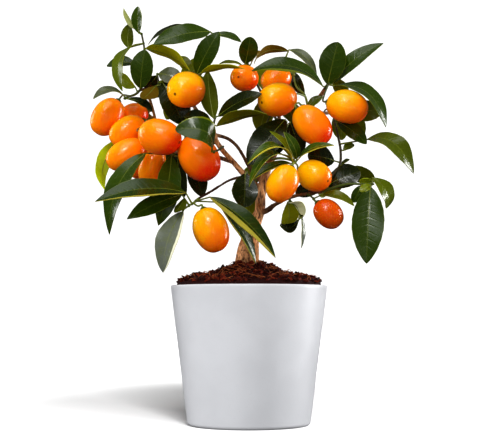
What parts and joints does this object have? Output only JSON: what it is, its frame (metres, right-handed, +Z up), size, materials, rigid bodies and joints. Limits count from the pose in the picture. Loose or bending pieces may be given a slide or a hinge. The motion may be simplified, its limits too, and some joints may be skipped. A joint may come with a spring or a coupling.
{
  "type": "potted nagami kumquat bonsai",
  "caption": "Small kumquat tree with a forked trunk, leafy shoots and hanging oval fruits, standing in a plain tapered pot of bark soil.",
  "frame": {"origin": "centre of the pot's flat underside, on the surface that it stands on", "axes": "+Z up, +X to the right and +Y away from the viewer of the tree's front"},
  "size_m": [0.2503, 0.1742, 0.3253],
  "materials": {
    "ceramic": "smooth satin grey-white",
    "soil": "dark bark and coir chips",
    "bark": "rough brown bark",
    "leaf": "glossy dark green upper side, olive underside",
    "new_leaf": "glossy bright green young growth",
    "peel": "glossy orange peel with fine pits"
  },
  "bodies": {
    "root": {"pot": "ceramic", "soil": "soil", "trunk": "bark", "fruit_01": "peel", "fruit_02": "peel", "fruit_03": "peel", "fruit_04": "peel", "fruit_05": "peel", "fruit_06": "peel", "fruit_07": "peel", "fruit_08": "peel", "fruit_09": "peel", "fruit_10": "peel", "fruit_11": "peel", "fruit_12": "peel", "fruit_13": "peel", "fruit_14": "peel", "fruit_15": "peel", "fruit_16": "peel", "fruit_17": "peel", "fruit_18": "peel", "fruit_19": "peel", "fruit_20": "peel", "fruit_21": "peel", "fruit_22": "peel", "fruit_23": "peel", "shoot_top_left": "leaf", "shoot_far_left": "leaf", "shoot_left_fruit": "leaf", "leaf_front_left": "leaf", "shoot_inner_left": "leaf", "shoot_upper_mid": "leaf", "shoot_left_dark": "leaf", "shoot_low_mid_left": "leaf", "shoot_centre_top": "leaf", "shoot_over_right": "new_leaf", "shoot_right_hub": "leaf", "stalk_right_front": "new_leaf", "shoot_right": "leaf", "shoot_new_leaves": "new_leaf", "leaf_behind_new": "leaf", "shoot_trunk_mid": "leaf", "shoot_low_left": "leaf", "shoot_under_right": "new_leaf", "stalk_low_right": "leaf", "shoot_far_right": "leaf", "shoot_back_centre": "leaf", "shoot_back_left": "leaf", "shoot_back_right": "leaf", "shoot_back_low_left": "leaf", "shoot_back_low_right": "leaf", "shoot_back_mid": "leaf"}
  },
  "joints": []
}
